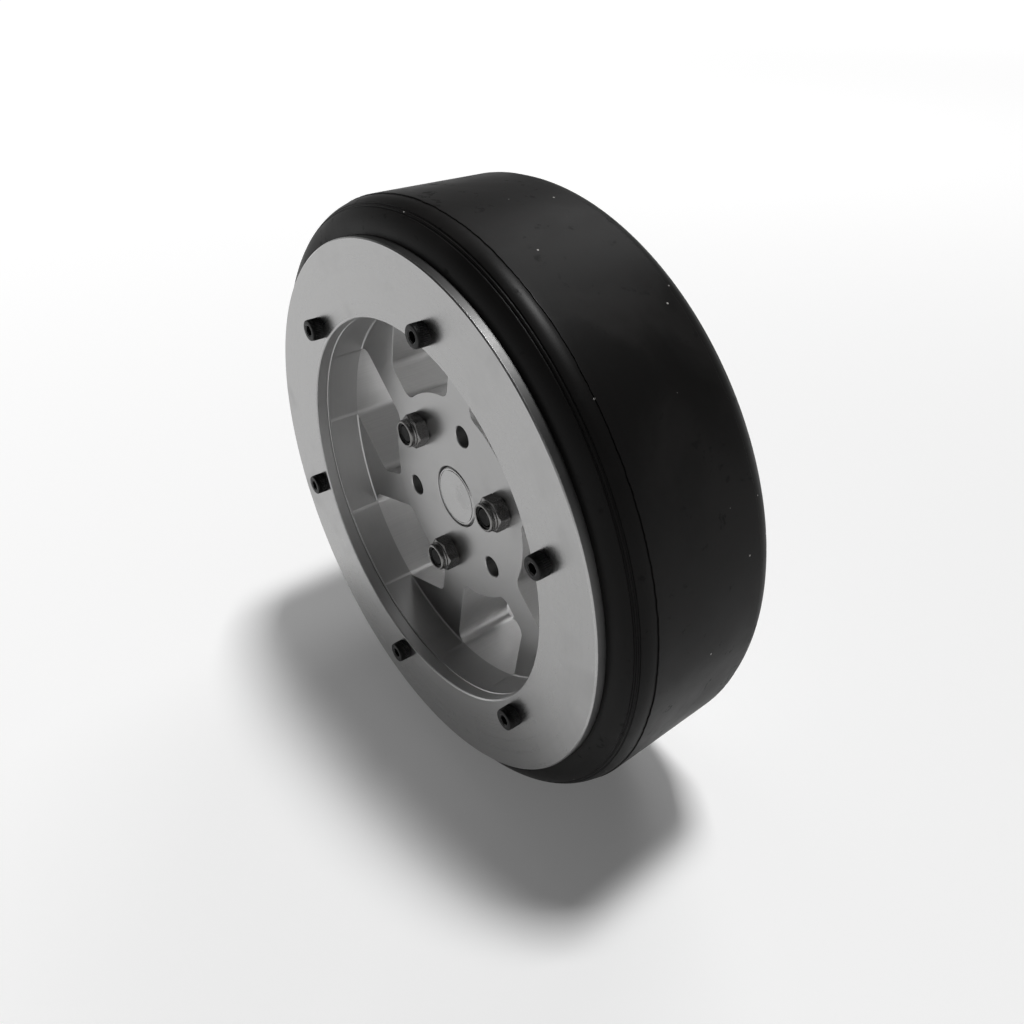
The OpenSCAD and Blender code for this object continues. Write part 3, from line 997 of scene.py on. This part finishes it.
def makeNuts():
    s = nutShape
    half = s["flats"] / 2
    cornerR = hexCornerR(s["flats"]) - 0.05
    hexH, height, footR = s["hexH"], s["height"], s["footR"]
    low, high = s["insertLow"], s["insertHigh"]
    threadR, insertR, lipR = s["threadR"], s["insertR"], s["lipR"]
    outline = [(cornerR, z) for z in s["endRows"]]
    outline += [(cornerR, hexH - z * 1.4) for z in reversed(s["endRows"])]
    outline += softOutline([
        (footR, hexH), (footR, hexH + 0.35, 0.06), (s["neckR"], hexH + 0.55, 0.06),
        (s["collarR"], hexH + 0.75, 0.06), (s["collarR"], height - 0.45, 0.1),
        (3.53, height - 0.15, 0.08), (3.3, height, 0.08),
        (lipR + 0.1, height, 0.06), (lipR, height - 0.12, 0.05), (lipR, high),
    ])
    outline += [(insertR, high), (insertR, low), (threadR, low), (threadR, 0.3), (threadR + 0.3, 0)]

    def shape(r, z, angle):
        if r > footR + 0.1:
            fold = math.radians(60)
            flat = half / math.cos((angle + fold / 2) % fold - fold / 2)
            foot = half - 0.05 + z * 2.2  # both ends of the hexagon are turned
            top = half - 0.1 + (hexH - z) * 1.5
            r = min(flat, cornerR, foot, top)
        return r, z

    for k in range(1, 4):
        r, angle = boltPlace(f"lock_nut_{k}")
        place = onBolt(r, angle, webFront)
        turn = Matrix.Rotation(math.radians(s["turns"][k - 1]), 4, "Z")
        nut = moved(spin(outline, s["segments"], shape=shape), place @ turn)
        addPiece(f"lock_nut_piece_{k}", nut, [materials["nut"]], "nut_steel", f"lock_nut_{k}", sharp=28)
        ring = softOutline([(threadR, low), (insertR, low), (insertR, high), (threadR, high, 0.15)])
        insert = moved(spin(ring, s["insertSegments"]), place)
        addPiece(f"nut_insert_piece_{k}", insert, [materials["insert"]], "insert_nylon",
                 f"nut_insert_{k}")


makeTyre()
makeRing()
makeRim()
makeHub()
makeCapScrews()
makeSetScrews()
makeNuts()


stageLook = {
    "floorColour": 0.82, "floorSize": 40.0,
    "white": 1.0, "litByLamp": 0.95, "poolAt": (0.16, 0.23, 0.0), "poolSize": 1.35,
    "backdrop": 0.5, "ceiling": 0.05, "fadeFrom": 0.12, "fadeTo": 0.5, "room": 0.05,
}


def seenRays(nodes):
    # 1 for rays that look at the background, straight or by way of metal and glass
    path = nodes.add("ShaderNodeLightPath").outputs
    seen = nodes.math("ADD", path["Is Camera Ray"], path["Is Glossy Ray"], clamp=True)
    return nodes.math("ADD", seen, path["Is Transmission Ray"], clamp=True)


def makeStage():
    s = stageLook
    bm = bmesh.new()
    bmesh.ops.create_grid(bm, x_segments=1, y_segments=1, size=s["floorSize"] / 2)
    mesh = bpy.data.meshes.new("floor")
    bm.to_mesh(mesh)
    bm.free()
    floor = bpy.data.objects.new("floor", mesh)
    floor.location.z = cadBox[0][2]
    bpy.context.scene.collection.objects.link(floor)
    material = bpy.data.materials.new("floorPale")
    material.use_nodes = True
    nodes = Nodes(material.node_tree)
    material.node_tree.nodes.clear()
    plain = nodes.add("ShaderNodeBsdfDiffuse", Color=grey(s["floorColour"]))
    seen = seenRays(nodes)
    away = nodes.vector("DISTANCE", nodes.place(), s["poolAt"])
    pool = nodes.math("POWER", nodes.math("DIVIDE", away, s["poolSize"]), 2.0)
    pool = nodes.math("POWER", nodes.math("ADD", pool, 1.0), -2.0)  # how the lamp's light falls off
    fill = nodes.math("SUBTRACT", s["white"], nodes.math("MULTIPLY", pool, s["litByLamp"]))
    glow = nodes.add("ShaderNodeEmission", Color=grey(1.0), Strength=nodes.math("MULTIPLY", seen, fill))
    both = nodes.add("ShaderNodeAddShader", i0=plain.outputs[0], i1=glow.outputs[0])
    output = nodes.add("ShaderNodeOutputMaterial")
    material.node_tree.links.new(both.outputs[0], output.inputs["Surface"])
    mesh.materials.append(material)

    world = bpy.data.worlds.new("studio")
    bpy.context.scene.world = world
    world.use_nodes = True
    nodes = Nodes(world.node_tree)
    world.node_tree.nodes.clear()
    way = nodes.add("ShaderNodeTexCoord").outputs["Generated"]
    height = nodes.add("ShaderNodeSeparateXYZ", Vector=way).outputs["Z"]
    pale = nodes.span(height, s["fadeFrom"], s["fadeTo"], s["backdrop"], s["ceiling"])
    strength = nodes.add("ShaderNodeMix", {"data_type": "FLOAT"},
                         i0=seenRays(nodes), i2=s["room"], i3=pale)
    sky = nodes.add("ShaderNodeBackground", Color=grey(1.0), Strength=strength.outputs[0])
    output = nodes.add("ShaderNodeOutputWorld")
    world.node_tree.links.new(sky.outputs[0], output.inputs["Surface"])


lamps = {
    "topSoft": {"at": (0.16, 0.23, 1.27), "size": (0.22, 0.22), "watts": 15},
    "backSoft": {"at": (-0.34, 0.76, 0.86), "size": (0.62, 0.42), "watts": 2.3},
}


def makeLamps():
    for name, lamp in lamps.items():
        light = bpy.data.lights.new(name, "AREA")
        light.shape = "RECTANGLE"
        light.size, light.size_y = lamp["size"]
        light.energy = lamp["watts"]
        holder = bpy.data.objects.new(name, light)
        holder.location = lamp["at"]
        holder.rotation_euler = (-Vector(lamp["at"])).to_track_quat("-Z", "Y").to_euler()
        bpy.context.scene.collection.objects.link(holder)


view = {
    "at": (0.16775, -0.11391, 0.1241), "towards": (-0.6595, 0.5752, -0.4839),
    "lens": 31.72, "shift": (-0.0734, -0.0724),
}


def makeCamera():
    camera = bpy.data.cameras.new("view")
    camera.sensor_width = 36
    camera.lens = view["lens"]
    camera.shift_x, camera.shift_y = view["shift"]
    camera.clip_start = 0.01
    camera.clip_end = 20
    holder = bpy.data.objects.new("view", camera)
    holder.location = view["at"]
    holder.rotation_euler = Vector(view["towards"]).to_track_quat("-Z", "Y").to_euler()
    bpy.context.scene.collection.objects.link(holder)
    bpy.context.scene.camera = holder
    bpy.context.scene.view_settings.view_transform = "Standard"


makeStage()
makeLamps()
makeCamera()
print("stage, lamps and camera made")

print("scene ready")
